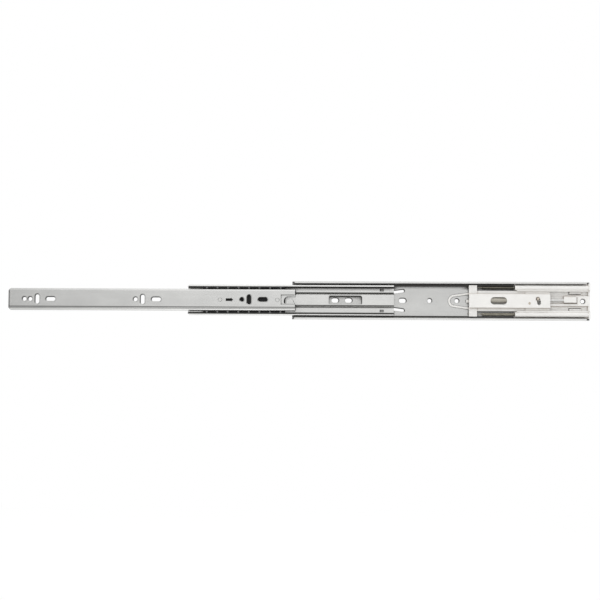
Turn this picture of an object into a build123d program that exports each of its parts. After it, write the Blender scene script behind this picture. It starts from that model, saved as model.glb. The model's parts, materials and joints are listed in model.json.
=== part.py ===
"""Soft-closing ball-bearing drawer slide, 45 mm class, 350 mm nominal length, drawn out with its catch armed.

Frame: X runs from the front of the cabinet to its rear, Z is up, and the cabinet's side panel is at Y = 0.
The drawer is on the -Y side. A depth is a distance from the panel towards the drawer, so depth d is Y = -d.
All sizes are in millimetres.
"""

import os
from math import acos, cos, degrees, pi, radians, sin

from build123d import *

# Sheet and ball tracks
sheet = 1.2
race_gap = 0.05
groove_depth = 0.3
outer_ball = 3.6
inner_ball = 4.0
outer_track_depth = 5.2
inner_track_depth = 8.0
cabinet_lip_reach = 2.5
intermediate_lip_reach = 2.1
bend_radius = 1.0

# Overall sizes and travel
slide_thickness = 12.7
cabinet_height = 45.5
cabinet_length = 350.0
intermediate_length = 246.0
drawer_length = 346.0
intermediate_travel = 126.0
drawer_travel = 216.0
intermediate_setback = 1.0

# Heights of the three members follow from the balls between them
cabinet_half = cabinet_height / 2
outer_ball_z = cabinet_half - sheet - race_gap - outer_ball / 2
intermediate_half = outer_ball_z - outer_ball / 2 - race_gap + groove_depth
inner_ball_z = intermediate_half - sheet - race_gap - inner_ball / 2
drawer_half = inner_ball_z - inner_ball / 2 - race_gap + groove_depth

# Where the members stand when the slide is drawn out
intermediate_front = intermediate_setback - intermediate_travel
intermediate_rear = intermediate_front + intermediate_length
drawer_front = -intermediate_travel - drawer_travel
drawer_rear = drawer_front + drawer_length

# Stop ears that hold the intermediate member when it is drawn out
stop_front = intermediate_rear - 18.0
stop_inner = 10.8
stop_outer = 13.8
stop_hole = 4.8
lance_gap = 0.2

# Intermediate member's web
shoulder_gap = 1.0
centre_raise = 2.0
centre_half_width = 6.5
shoulder_depth = sheet + shoulder_gap
centre_depth = shoulder_depth + centre_raise
centre_top = centre_depth + sheet
web_window_place = 188.1
web_window_length = 38.4
web_window_height = 9.2
web_window_corner = 1.5

# Cages
ball_count = 8
ball_pitch = 12.6
cage_end = 4.9
cage_sheet = 0.8
pocket_gap = 0.3
ball_sides = 8
pocket_sides = 8
cage_margin = 0.45
cage_length = 2 * cage_end + (ball_count - 1) * ball_pitch
outer_cage_front = 12.0
inner_cage_front = intermediate_front + 18.5
running_gap = 0.3
inner_cage_web = centre_top + running_gap
drawer_flange_depth = inner_cage_web + cage_sheet + running_gap + 0.15

# Drawer member's web
web_outer = slide_thickness
web_inner = slide_thickness - sheet
drawer_corner = 3.55
hole_step = 128.0
group_count = 3
first_hole = 20.0
round_hole = 27.0
vertical_slot = 35.6
horizontal_slot = 52.0
screw_hole = 4.6
slot_length = 11.0
lever_pivot_place = 256.6
arrow_place = 268.0
arrow_half = 4.5
arrow_neck = 1.7
arrow_shaft_half = 1.6
arrow_head_half = 2.4
dimple_place = 325.0
dimple_radius = 2.7
dimple_sink = 0.55
dimple_taper = 45
front_bevel = 2.0
corner_cut = 3.0

# Closing recess and cam slot at the drawer member's rear end
recess_length = 16.8
recess_height = 11.7
recess_z = 0.45
recess_step = 1.0
cam_depth = 11.6
cam_width = 3.5
cam_entry_z = 2.4
cam_radius = 3.6
cam_mouth_z = -4.8
cam_mouth_run = 3.4
cam_mouth_lip = 0.6

# Damper unit on the cabinet member
base_plate = 0.7
base_top = sheet + base_plate
tunnel_length = 87.0
tunnel_front = cabinet_length - tunnel_length
base_floor_front = tunnel_front - 1.0
unit_length = 165.0
hoop_apex = cabinet_length - unit_length
hoop_width = 2.2
hoop_radius = 7.4
hoop_centre = hoop_apex + hoop_radius
hoop_rear = hoop_apex + 24.5
hoop_rear_half = 9.9
tunnel_radius = 3.0
spring_z = 15.7
spring_depth = 5.0
spring_radius = 2.05
spring_gap = 0.25
wire = 0.9
wire_sides = 8
coil_sides = 16
end_wall = 2.0
spring_wall_front = cabinet_length - 6.0
spring_wall_rear = spring_wall_front + end_wall

rear_screw = cabinet_length - 8.0
rear_screw_clearance = 3.2
tab_length = 13.5
tab_rear = cabinet_length - 10.0
tab_inner = 8.8
tab_outer = 11.2
tab_slot = 0.8
boss_half = 5.2
boss_gap = 1.3
rib_top = 4.5
low_rib = (-5.5, -3.2)
high_rib = (5.0, 6.2)
guide_bar = (0.2, 5.8)
strip_inner = 11.4
strip_overlap = 0.4
strip_gap = 0.2
rib_lead = 6.0

# Cabinet member's screw holes, from its front
cabinet_rounds = (35.0, 163.0, 195.0)
cabinet_slots = (51.0, 67.0, 131.0)
cabinet_slot_length = 8.0
cabinet_slot_width = 5.0
angled_slot_place = 121.0
angled_slot_z = 10.1
angled_slot_tilt = 7.5
angled_slot_length = 24.0
angled_slot_width = 3.0
lip_cut = 4.0
lip_slant = 4.0

# Carriage
soft_travel = 44.0
arm_length = 9.4
carriage_length = 94.2
carriage_front = tunnel_front - soft_travel - arm_length - 0.4
carriage_rear = carriage_front + carriage_length
carriage_bottom = base_top + 0.2
carriage_top = web_inner - recess_step - running_gap
band_half = 8.0
roof = 0.8
hollow_half = 6.6
shoulder_half = 11.9
shoulder_top = 5.0
ear_front = carriage_rear - 28.4
ear_half = 12.1
ear_bottom = 3.9
ear_top = 5.7
arm_half = 18.4
arm_rear = carriage_front + arm_length
arm_top = 6.4
front_wall = 1.8
nose_length = 3.2
nose_z = (-1.9, 1.5)
nose_sheet = 1.6
rib_bottom = 4.9
rib_inset = 8.0
rib_sheet = 2.0
window_place = carriage_front + 34.5
window_length = 19.3
window_height = 8.7

# Latch
pivot_x = carriage_front + 70.3
pivot_z = -2.8
latch_reach = 10.95
latch_armed = 29.2
latch_swing = 28.0
latch_sheet = 1.2
pin_size = 2.9
pivot_pin_size = 3.0
latch_top = carriage_top - roof - 0.2
latch_bottom = latch_top - latch_sheet
pin_x = pivot_x + latch_reach * cos(radians(latch_armed))
pin_z = pivot_z + latch_reach * sin(radians(latch_armed))
latch_slot_width = 4.4
latch_eye = 3.2
latch_tip = 2.5
pin_chamfer = 0.3
pin_sink = 0.5

# Damper
damper_z = 1.2
damper_depth = 5.9
cylinder_radius = 3.3
cylinder_wall = 0.5
cylinder_front = carriage_front + 2.8
cylinder_length = 56.0
cylinder_rear = cylinder_front + cylinder_length
gland_length = 4.0
cylinder_end = 1.2
rod_radius = 1.5
piston_length = 5.0
piston_front = cylinder_rear - piston_length - 0.5
fit_gap = 0.1
foot_length = 14.5
foot_front = cabinet_length - foot_length - 15.7
foot_bottom_z = -1.6
foot_top_z = 4.9
foot_top = latch_bottom - 0.4
rod_grip = 6.0

# Release lever
lever_sheet = 0.8
lever_gap = 0.2
rivet_radius = 1.5
rivet_head = 2.4
rivet_head_sheet = 0.4
lever_pivot_x = drawer_front + lever_pivot_place
lever_top = web_inner - lever_gap
lever_bottom = lever_top - lever_sheet
catch_x = intermediate_front + 4.0
catch_top = 9.5
catch_height = 4.0
catch_slot = 4.0
lever_hub = 4.5
lever_width = 5.0
lever_overhang = 15.0
lever_pad_length = 10.0
lever_pad_height = 9.0
lever_offset = 0.5
hook_length = 3.0
hook_bottom = inner_cage_web + cage_sheet + 0.45
hook_low = -1.0
rivet_sink = 0.6

# How far a cut runs past the face it starts from
over = 1.0


def section(x):
    """A plane across the slide, with depth to the right, Z up and its normal towards the front."""
    return Plane(origin=(x, 0, 0), x_dir=(0, -1, 0), z_dir=(-1, 0, 0))


def face(depth):
    """A plane along the slide at a depth, as seen from the drawer: X to the right, Z up."""
    return Plane.XZ.offset(depth)


def lip_angle(track_radius, reach):
    """The angle that a lip turns round its balls so that its end comes down by its reach."""
    return degrees(acos(1 - reach / (track_radius + sheet)))


def member_section(points, radius, x, track=None, lip=0.0, groove=None):
    """The section of a rolled sheet member: a bent line, a lip round one ball track, a groove for another."""
    with BuildSketch(section(x)) as profile:
        with BuildLine():
            FilletPolyline(*points, radius=radius)
            if track:
                CenterArc((track[0], track[1]), track[2] + sheet / 2, 90, -lip)
        trace(line_width=sheet)
        if groove:
            with Locations((groove[0], groove[1])):
                Circle(groove[2], mode=Mode.SUBTRACT)
        mirror(about=Plane.XZ)
    return profile.sketch


def plate(x0, x1, z0, z1, depth):
    """A rectangle between two lengths and two heights, seen from the drawer."""
    with BuildSketch(face(depth)) as outline:
        with Locations(((x0 + x1) / 2, (z0 + z1) / 2)):
            Rectangle(x1 - x0, z1 - z0)
    return outline.sketch


def both_sides(x0, x1, z0, z1, depth):
    """The same rectangle above and below the middle plane."""
    middle = (z0 + z1) / 2
    with BuildSketch(face(depth)) as outline:
        with Locations(((x0 + x1) / 2, middle), ((x0 + x1) / 2, -middle)):
            Rectangle(x1 - x0, z1 - z0)
    return outline.sketch


def ball_places(front, depth, z):
    """Where the balls of one row are."""
    return [(front + cage_end + n * ball_pitch, -depth, z) for n in range(ball_count)]


def faceted_ball(radius):
    """A ball as two bands of flat sides and a fan of them round each pole, light enough to repeat."""
    tops = [Vector(0, 0, -radius), Vector(0, 0, radius)]
    rings = []
    for latitude in (-45, 0, 45):
        across = radius * cos(radians(latitude))
        height = radius * sin(radians(latitude))
        turns = [2 * pi * n / ball_sides for n in range(ball_sides)]
        rings.append([Vector(across * cos(turn), across * sin(turn), height) for turn in turns])
    outlines = []
    for n in range(ball_sides):
        after = (n + 1) % ball_sides
        outlines.append([tops[0], rings[0][after], rings[0][n]])
        outlines.append([tops[1], rings[-1][n], rings[-1][after]])
        for low, high in zip(rings, rings[1:]):
            outlines.append([low[n], low[after], high[after], high[n]])
    sides = [Face(Wire.make_polygon(outline)) for outline in outlines]
    return Solid(Shell(sides))


def corner_cuts(front, half, cut, depth):
    """The two triangles that slant a member's front corners back."""
    with BuildSketch(face(depth)) as corners:
        for side in (1, -1):
            with BuildLine():
                Polyline(
                    (front, side * (half + over)),
                    (front, side * (half - cut)),
                    (front + cut, side * (half + over)),
                    close=True,
                )
            make_face()
    return corners.sketch


def front_wedge(depth, half):
    """A wedge along the drawer member's front edge, deepest at the very front."""
    with BuildSketch(Plane.XY.offset(-half)) as wedge:
        with BuildLine():
            Polyline(
                (drawer_front, -depth),
                (drawer_front, -depth + sheet),
                (drawer_front + front_bevel, -depth),
                close=True,
            )
        make_face()
    return wedge.sketch


os.makedirs("parts", exist_ok=True)
outer_race = outer_ball / 2 + race_gap
inner_race = inner_ball / 2 + race_gap

# Cabinet member: a C of rolled sheet whose lips wrap the outer balls
cabinet_line = [
    (sheet / 2, 0),
    (sheet / 2, cabinet_half - sheet / 2),
    (outer_track_depth, cabinet_half - sheet / 2),
]
stop_root = stop_front - running_gap - sheet
with BuildPart() as cabinet_member:
    extrude(
        member_section(
            cabinet_line,
            bend_radius + sheet / 2,
            cabinet_length,
            (outer_track_depth, outer_ball_z, outer_race),
            lip_angle(outer_race, cabinet_lip_reach),
        ),
        amount=cabinet_length,
    )
    with BuildSketch(face(sheet + bend_radius)):
        for side in (1, -1):
            with BuildLine():
                Polyline(
                    (0, side * (cabinet_half + over)),
                    (0, side * (cabinet_half - lip_cut)),
                    (lip_slant + over, side * (cabinet_half - lip_cut)),
                    (over, side * (cabinet_half + over)),
                    close=True,
                )
            make_face()
    extrude(amount=slide_thickness, mode=Mode.SUBTRACT)
    extrude(
        both_sides(
            cabinet_length - lip_cut,
            cabinet_length + over,
            cabinet_half - lip_cut - 2,
            cabinet_half + over,
            sheet + bend_radius,
        ),
        amount=slide_thickness,
        mode=Mode.SUBTRACT,
    )
    with BuildSketch(face(0)):
        with Locations([(x, 0) for x in (*cabinet_rounds, rear_screw)]):
            Circle(screw_hole / 2)
        with Locations([(x, 0) for x in cabinet_slots]):
            SlotOverall(cabinet_slot_length, cabinet_slot_width)
        for side in (1, -1):
            with Locations(Location((angled_slot_place, side * angled_slot_z), side * angled_slot_tilt)):
                SlotOverall(angled_slot_length, angled_slot_width)
    extrude(amount=sheet, mode=Mode.SUBTRACT)
    extrude(
        both_sides(stop_front - stop_hole, stop_root, stop_inner, stop_outer, 0),
        amount=sheet,
        mode=Mode.SUBTRACT,
    )
    extrude(
        both_sides(stop_root, stop_root + sheet, stop_inner, stop_outer, 0),
        amount=shoulder_depth - lance_gap,
    )
cabinet_member.part.label = "cabinet_member"
export_step(cabinet_member.part, "parts/cabinet_member.step")

# Intermediate member: raised centre, outer grooves, and lips round the inner balls
intermediate_line = [
    (centre_depth + sheet / 2, 0),
    (centre_depth + sheet / 2, centre_half_width),
    (shoulder_depth + sheet / 2, centre_half_width + centre_raise),
    (shoulder_depth + sheet / 2, intermediate_half - sheet / 2),
    (inner_track_depth, intermediate_half - sheet / 2),
]
with BuildPart() as intermediate_member:
    extrude(
        member_section(
            intermediate_line,
            bend_radius,
            intermediate_rear,
            (inner_track_depth, inner_ball_z, inner_race),
            lip_angle(inner_race, intermediate_lip_reach),
            (outer_track_depth, outer_ball_z, outer_race),
        ),
        amount=intermediate_length,
    )
    with BuildSketch(face(0)):
        with Locations((intermediate_front + web_window_place, 0)):
            RectangleRounded(web_window_length, web_window_height, web_window_corner)
    extrude(amount=slide_thickness, mode=Mode.SUBTRACT)
    extrude(
        corner_cuts(intermediate_front, intermediate_half, corner_cut, shoulder_depth),
        amount=slide_thickness,
        mode=Mode.SUBTRACT,
    )
    stop_back = stop_front + sheet
    extrude(
        both_sides(stop_back, stop_back + stop_hole, stop_inner, stop_outer, shoulder_depth),
        amount=sheet,
        mode=Mode.SUBTRACT,
    )
    extrude(
        both_sides(stop_front, stop_back, stop_inner, stop_outer, sheet + lance_gap),
        amount=shoulder_gap + sheet / 2,
    )
    catch_back = catch_x + sheet
    extrude(
        plate(catch_back, catch_back + catch_slot, 0, catch_height, centre_depth),
        amount=sheet,
        mode=Mode.SUBTRACT,
    )
    extrude(plate(catch_x, catch_back, 0, catch_height, centre_depth), amount=catch_top - centre_depth)
intermediate_member.part.label = "intermediate_member"
export_step(intermediate_member.part, "parts/intermediate_member.step")

# Drawer member: a flat-faced channel with the drawer's screw holes and the closing slot
drawer_line = [
    (slide_thickness - sheet / 2, 0),
    (slide_thickness - sheet / 2, drawer_half - sheet / 2),
    (drawer_flange_depth, drawer_half - sheet / 2),
]
with BuildPart() as drawer_member:
    extrude(
        member_section(
            drawer_line,
            drawer_corner - sheet / 2,
            drawer_rear,
            groove=(inner_track_depth, inner_ball_z, inner_race),
        ),
        amount=drawer_length,
    )
    extrude(
        plate(
            drawer_rear - recess_length - sheet,
            drawer_rear,
            recess_z - recess_height / 2 - sheet / 2,
            recess_z + recess_height / 2 + sheet / 2,
            web_inner - recess_step,
        ),
        amount=recess_step,
    )
    extrude(
        plate(
            drawer_rear - recess_length,
            drawer_rear,
            recess_z - recess_height / 2,
            recess_z + recess_height / 2,
            web_outer - recess_step,
        ),
        amount=recess_step,
        mode=Mode.SUBTRACT,
    )
    web_half = drawer_half - drawer_corner
    extrude(front_wedge(web_inner, web_half), amount=2 * web_half)
    extrude(front_wedge(web_outer, drawer_half), amount=2 * drawer_half, mode=Mode.SUBTRACT)
    extrude(
        corner_cuts(drawer_front, drawer_half, corner_cut, 0),
        amount=slide_thickness,
        mode=Mode.SUBTRACT,
    )
    with BuildSketch(face(0)):
        with Locations((drawer_front + first_hole, 0)):
            Circle(screw_hole / 2)
        for n in range(group_count):
            start = drawer_front + n * hole_step
            with Locations((start + round_hole, 0)):
                Circle(screw_hole / 2)
            with Locations((start + vertical_slot, 0)):
                SlotOverall(slot_length, screw_hole, rotation=90)
            with Locations((start + horizontal_slot, 0)):
                SlotOverall(slot_length, screw_hole)
        arrow_x = drawer_front + arrow_place
        with BuildLine():
            Polyline(
                (arrow_x - arrow_half, arrow_shaft_half),
                (arrow_x + arrow_neck, arrow_shaft_half),
                (arrow_x + arrow_neck, arrow_head_half),
                (arrow_x + arrow_half, 0),
                (arrow_x + arrow_neck, -arrow_head_half),
                (arrow_x + arrow_neck, -arrow_shaft_half),
                (arrow_x - arrow_half, -arrow_shaft_half),
                close=True,
            )
        make_face()
    extrude(amount=slide_thickness, mode=Mode.SUBTRACT)
    cam_x = drawer_rear - cam_depth
    cam_end_z = pivot_z + latch_reach * sin(radians(latch_armed - latch_swing))
    mouth_x = drawer_rear - cam_mouth_run
    with BuildSketch(face(0)):
        with BuildLine():
            Line((drawer_rear + over, cam_entry_z), (cam_x + cam_radius, cam_entry_z))
            CenterArc((cam_x + cam_radius, cam_entry_z - cam_radius), cam_radius, 90, 90)
            Line((cam_x, cam_entry_z - cam_radius), (cam_x, cam_end_z))
        trace(line_width=cam_width)
        with Locations((cam_x, cam_end_z)):
            Circle(cam_width / 2)
        with BuildLine():
            Polyline(
                (drawer_rear + over, cam_entry_z + cam_width / 2),
                (drawer_rear + over, cam_mouth_z),
                (drawer_rear - cam_mouth_lip, cam_mouth_z),
                (mouth_x, cam_entry_z - cam_width / 2),
                (mouth_x, cam_entry_z + cam_width / 2),
                close=True,
            )
        make_face()
    extrude(amount=slide_thickness, mode=Mode.SUBTRACT)
    with BuildSketch(face(web_outer)):
        with Locations((drawer_front + dimple_place, 0), (lever_pivot_x, 0)):
            Circle(dimple_radius)
    extrude(amount=-dimple_sink, taper=dimple_taper, mode=Mode.SUBTRACT)
    with BuildSketch(face(0)):
        with Locations((lever_pivot_x, 0)):
            Circle(rivet_radius)
    extrude(amount=slide_thickness, mode=Mode.SUBTRACT)
drawer_member.part.label = "drawer_member"
export_step(drawer_member.part, "parts/drawer_member.step")

# Outer cages: a strip of sheet above and one below, with round pockets
outer_pocket = outer_ball / 2 + pocket_gap / 2
cage_low = outer_ball_z - cage_sheet / 2 - 0.15
for name, side in (("upper", 1), ("lower", -1)):
    with BuildPart() as outer_cage:
        with BuildSketch(Plane.XY.offset(side * (cage_low + cage_sheet / 2) - cage_sheet / 2)):
            with Locations((outer_cage_front + cage_length / 2, -outer_track_depth)):
                Rectangle(cage_length, 2 * (outer_pocket + cage_margin))
            with Locations([(x, y) for x, y, z in ball_places(outer_cage_front, outer_track_depth, 0)]):
                RegularPolygon(outer_pocket, pocket_sides, major_radius=False, mode=Mode.SUBTRACT)
        extrude(amount=cage_sheet)
    outer_cage.part.label = "outer_cage_" + name
    export_step(outer_cage.part, "parts/outer_cage_" + name + ".step")
    with BuildPart() as outer_balls:
        with Locations(ball_places(outer_cage_front, outer_track_depth, side * outer_ball_z)):
            add(faceted_ball(outer_ball / 2))
    outer_balls.part.label = "outer_balls_" + name
    export_step(outer_balls.part, "parts/outer_balls_" + name + ".step")

# Inner cage: one channel of sheet with pockets in both flanges
inner_pocket = inner_ball / 2 + pocket_gap / 2
with BuildPart() as inner_cage:
    flange = inner_track_depth + inner_pocket + cage_margin
    web_line = inner_cage_web + cage_sheet / 2
    with BuildSketch(section(inner_cage_front + cage_length)):
        with BuildLine():
            Polyline(
                (flange, -inner_ball_z),
                (web_line + cage_sheet, -inner_ball_z),
                (web_line, -inner_ball_z + cage_sheet),
                (web_line, inner_ball_z - cage_sheet),
                (web_line + cage_sheet, inner_ball_z),
                (flange, inner_ball_z),
            )
        trace(line_width=cage_sheet)
    extrude(amount=cage_length)
    for side in (1, -1):
        with BuildSketch(Plane.XY.offset(side * inner_ball_z)):
            with Locations([(x, y) for x, y, z in ball_places(inner_cage_front, inner_track_depth, 0)]):
                RegularPolygon(inner_pocket, pocket_sides, major_radius=False)
        extrude(amount=inner_pocket, both=True, mode=Mode.SUBTRACT)
inner_cage.part.label = "inner_cage"
export_step(inner_cage.part, "parts/inner_cage.step")
for name, side in (("upper", 1), ("lower", -1)):
    with BuildPart() as inner_balls:
        with Locations(ball_places(inner_cage_front, inner_track_depth, side * inner_ball_z)):
            add(faceted_ball(inner_ball / 2))
    inner_balls.part.label = "inner_balls_" + name
    export_step(inner_balls.part, "parts/inner_balls_" + name + ".step")

# Base of the damper unit: floor, front hoop, spring tunnels, rear boss and end cap in one moulding
spring_hole = spring_radius + spring_gap
floor_half = cabinet_half - sheet - bend_radius
low_rib_front = carriage_rear - rib_lead
with BuildPart() as damper_base:
    with BuildSketch(face(sheet)):
        with BuildLine():
            CenterArc((hoop_centre, 0), hoop_radius, 90, 180)
            Line((hoop_centre, hoop_radius), (hoop_rear, hoop_rear_half))
            Line((hoop_centre, -hoop_radius), (hoop_rear, -hoop_rear_half))
            Line((hoop_rear, hoop_rear_half), (hoop_rear, -hoop_rear_half))
        make_face()
        with BuildLine():
            CenterArc((hoop_centre, 0), hoop_radius - hoop_width, 90, 180)
            Line((hoop_centre, hoop_radius - hoop_width), (hoop_rear, hoop_rear_half - hoop_width))
            Line((hoop_centre, -hoop_radius + hoop_width), (hoop_rear, -hoop_rear_half + hoop_width))
            Line((hoop_rear, hoop_rear_half - hoop_width), (hoop_rear, -hoop_rear_half + hoop_width))
        make_face(mode=Mode.SUBTRACT)
    extrude(amount=base_plate)
    with BuildSketch(face(sheet)):
        with Locations(((hoop_rear + base_floor_front) / 2, 0)):
            Rectangle(base_floor_front - hoop_rear, 2 * hoop_rear_half)
        with Locations(((base_floor_front + cabinet_length) / 2, 0)):
            Rectangle(cabinet_length - base_floor_front, 2 * floor_half)
    extrude(amount=base_plate)
    with BuildSketch(section(cabinet_length)):
        for side in (1, -1):
            with Locations((spring_depth, side * spring_z)):
                Circle(tunnel_radius)
            with Locations(((sheet + spring_depth) / 2, side * spring_z)):
                Rectangle(spring_depth - sheet, 2 * tunnel_radius)
    extrude(amount=cabinet_length - tunnel_front)
    extrude(
        both_sides(
            tunnel_front + end_wall,
            cabinet_length,
            strip_inner,
            spring_z - tunnel_radius + strip_overlap,
            ear_top + strip_gap,
        ),
        amount=drawer_flange_depth - running_gap - ear_top - strip_gap,
    )
    with BuildSketch(section(spring_wall_front)):
        with Locations((spring_depth, spring_z), (spring_depth, -spring_z)):
            Circle(spring_hole)
    extrude(amount=spring_wall_front - tunnel_front, mode=Mode.SUBTRACT)
    with BuildSketch(section(spring_wall_rear + over)):
        with Locations((spring_depth, spring_z), (spring_depth, -spring_z)):
            RegularPolygon(wire / 2 + spring_gap, wire_sides)
    extrude(amount=end_wall + 2 * over, mode=Mode.SUBTRACT)
    extrude(
        both_sides(
            spring_wall_rear,
            spring_wall_rear + end_wall,
            spring_z - spring_hole,
            spring_z + spring_hole,
            0,
        ),
        amount=spring_depth + wire,
        mode=Mode.SUBTRACT,
    )
    cap_front = cabinet_length - end_wall
    extrude(both_sides(cap_front, cabinet_length, 0, floor_half, base_top), amount=ear_bottom - base_top)
    extrude(
        both_sides(cap_front, cabinet_length, spring_z - tunnel_radius, floor_half, ear_bottom),
        amount=spring_depth + tunnel_radius - ear_bottom,
    )
    extrude(
        plate(foot_front + foot_length + boss_gap, cabinet_length, -boss_half, boss_half, base_top),
        amount=rib_top - base_top,
    )
    extrude(plate(low_rib_front, cabinet_length, *low_rib, base_top), amount=rib_top - base_top)
    extrude(plate(foot_front, cabinet_length, *high_rib, base_top), amount=rib_top - base_top)
    extrude(
        plate(low_rib_front, foot_front, *guide_bar, base_top),
        amount=damper_depth - cylinder_radius - running_gap - base_top,
    )
    tab_front = tab_rear - tab_length
    extrude(
        both_sides(tab_front, tab_rear, tab_inner, tab_outer, base_top),
        amount=ear_bottom - base_top - running_gap,
    )
    extrude(
        both_sides(tab_front, tab_rear, tab_inner - tab_slot, tab_inner, sheet),
        amount=base_plate,
        mode=Mode.SUBTRACT,
    )
    extrude(
        both_sides(tab_front - tab_slot, tab_front, tab_inner - tab_slot, tab_outer, sheet),
        amount=base_plate,
        mode=Mode.SUBTRACT,
    )
    with BuildSketch(face(0)):
        with Locations((rear_screw, 0)):
            Circle(rear_screw_clearance)
    extrude(amount=slide_thickness, mode=Mode.SUBTRACT)
damper_base.part.label = "damper_base"
export_step(damper_base.part, "parts/damper_base.step")

# Carriage: the moulding that the drawer pulls shut, hollow underneath for the damper and the latch
with BuildPart() as carriage:
    extrude(
        plate(carriage_front, carriage_rear, -band_half, band_half, carriage_bottom),
        amount=carriage_top - carriage_bottom,
    )
    extrude(
        plate(carriage_front, carriage_rear, -shoulder_half, shoulder_half, ear_bottom),
        amount=shoulder_top - ear_bottom,
    )
    extrude(plate(ear_front, carriage_rear, -ear_half, ear_half, ear_bottom), amount=ear_top - ear_bottom)
    extrude(
        plate(carriage_front, arm_rear, -arm_half, arm_half, carriage_bottom),
        amount=arm_top - carriage_bottom,
    )
    extrude(plate(carriage_front - nose_length, carriage_front, *nose_z, carriage_bottom), amount=nose_sheet)
    extrude(
        plate(carriage_front + front_wall, carriage_rear, -hollow_half, hollow_half, carriage_bottom),
        amount=carriage_top - roof - carriage_bottom,
        mode=Mode.SUBTRACT,
    )
    for rib in (cylinder_front + rib_inset, cylinder_rear - rib_inset):
        extrude(
            plate(rib, rib + rib_sheet, -hollow_half, hollow_half, rib_bottom),
            amount=carriage_top - roof - rib_bottom,
        )
    with BuildSketch(section(cylinder_rear)):
        with Locations((damper_depth, damper_z)):
            Circle(cylinder_radius)
    extrude(amount=cylinder_length, mode=Mode.SUBTRACT)
    with BuildSketch(section(arm_rear + over)):
        with Locations((spring_depth, spring_z), (spring_depth, -spring_z)):
            RegularPolygon(wire / 2 + spring_gap, wire_sides)
    extrude(amount=arm_rear - carriage_front + 2 * over, mode=Mode.SUBTRACT)
    with BuildSketch(face(carriage_top - roof - over)):
        with Locations((window_place, 0)):
            SlotOverall(window_length, window_height)
        with Locations((pivot_x, pivot_z)):
            Circle(pivot_pin_size / 2)
        slot_line = Edge.make_circle(
            latch_reach,
            Plane(origin=(pivot_x, pivot_z, 0)),
            latch_armed - latch_swing,
            latch_armed,
        )
        SlotArc(slot_line, latch_slot_width)
    extrude(amount=roof + 2 * over, mode=Mode.SUBTRACT)
carriage.part.label = "carriage"
export_step(carriage.part, "parts/carriage.step")

# Latch and its two pins
with BuildPart() as latch:
    with BuildSketch(face(latch_bottom)):
        with BuildLine():
            CenterArc((pivot_x, pivot_z), latch_eye, 0, 360)
            CenterArc((pin_x, pin_z), latch_tip, 0, 360)
        make_hull()
        with Locations((pivot_x, pivot_z)):
            Circle(pivot_pin_size / 2 + fit_gap, mode=Mode.SUBTRACT)
        with Locations((pin_x, pin_z)):
            Circle(pin_size / 2, mode=Mode.SUBTRACT)
    extrude(amount=latch_sheet)
latch.part.label = "latch"
export_step(latch.part, "parts/latch.step")

with BuildPart() as latch_pin:
    with BuildSketch(face(latch_bottom)):
        with Locations((pin_x, pin_z)):
            Circle(pin_size / 2)
    extrude(amount=web_outer - pin_sink - latch_bottom)
    chamfer(latch_pin.faces().sort_by(Axis.Y)[0].edges(), pin_chamfer)
latch_pin.part.label = "latch_pin"
export_step(latch_pin.part, "parts/latch_pin.step")

with BuildPart() as latch_pivot_pin:
    with BuildSketch(face(latch_bottom)):
        with Locations((pivot_x, pivot_z)):
            Circle(pivot_pin_size / 2)
    extrude(amount=carriage_top - fit_gap - latch_bottom)
latch_pivot_pin.part.label = "latch_pivot_pin"
export_step(latch_pivot_pin.part, "parts/latch_pivot_pin.step")

# Damper: cylinder and gland on the carriage; piston, rod and foot on the base
with BuildPart() as damper_cylinder:
    with BuildSketch(section(cylinder_rear)):
        with Locations((damper_depth, damper_z)):
            Circle(cylinder_radius)
    extrude(amount=cylinder_length)
    with BuildSketch(section(cylinder_rear)):
        with Locations((damper_depth, damper_z)):
            Circle(cylinder_radius - cylinder_wall)
    extrude(amount=cylinder_length - cylinder_end, mode=Mode.SUBTRACT)
damper_cylinder.part.label = "damper_cylinder"
export_step(damper_cylinder.part, "parts/damper_cylinder.step")

with BuildPart() as damper_gland:
    with BuildSketch(section(cylinder_rear + gland_length)):
        with Locations((damper_depth, damper_z)):
            Circle(cylinder_radius)
            Circle(rod_radius + fit_gap, mode=Mode.SUBTRACT)
    extrude(amount=gland_length)
damper_gland.part.label = "damper_gland"
export_step(damper_gland.part, "parts/damper_gland.step")

with BuildPart() as damper_piston:
    with BuildSketch(section(piston_front + piston_length)):
        with Locations((damper_depth, damper_z)):
            Circle(cylinder_radius - cylinder_wall - fit_gap)
            Circle(rod_radius, mode=Mode.SUBTRACT)
    extrude(amount=piston_length)
damper_piston.part.label = "damper_piston"
export_step(damper_piston.part, "parts/damper_piston.step")

with BuildPart() as damper_rod:
    with BuildSketch(section(foot_front + rod_grip)):
        with Locations((damper_depth, damper_z)):
            Circle(rod_radius)
    extrude(amount=foot_front + rod_grip - piston_front)
damper_rod.part.label = "damper_rod"
export_step(damper_rod.part, "parts/damper_rod.step")

with BuildPart() as rod_foot:
    extrude(
        plate(foot_front, foot_front + foot_length, foot_bottom_z, foot_top_z, base_top),
        amount=foot_top - base_top,
    )
    with BuildSketch(section(foot_front + rod_grip)):
        with Locations((damper_depth, damper_z)):
            Circle(rod_radius)
    extrude(amount=rod_grip + over, mode=Mode.SUBTRACT)
rod_foot.part.label = "rod_foot"
export_step(rod_foot.part, "parts/rod_foot.step")

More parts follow.
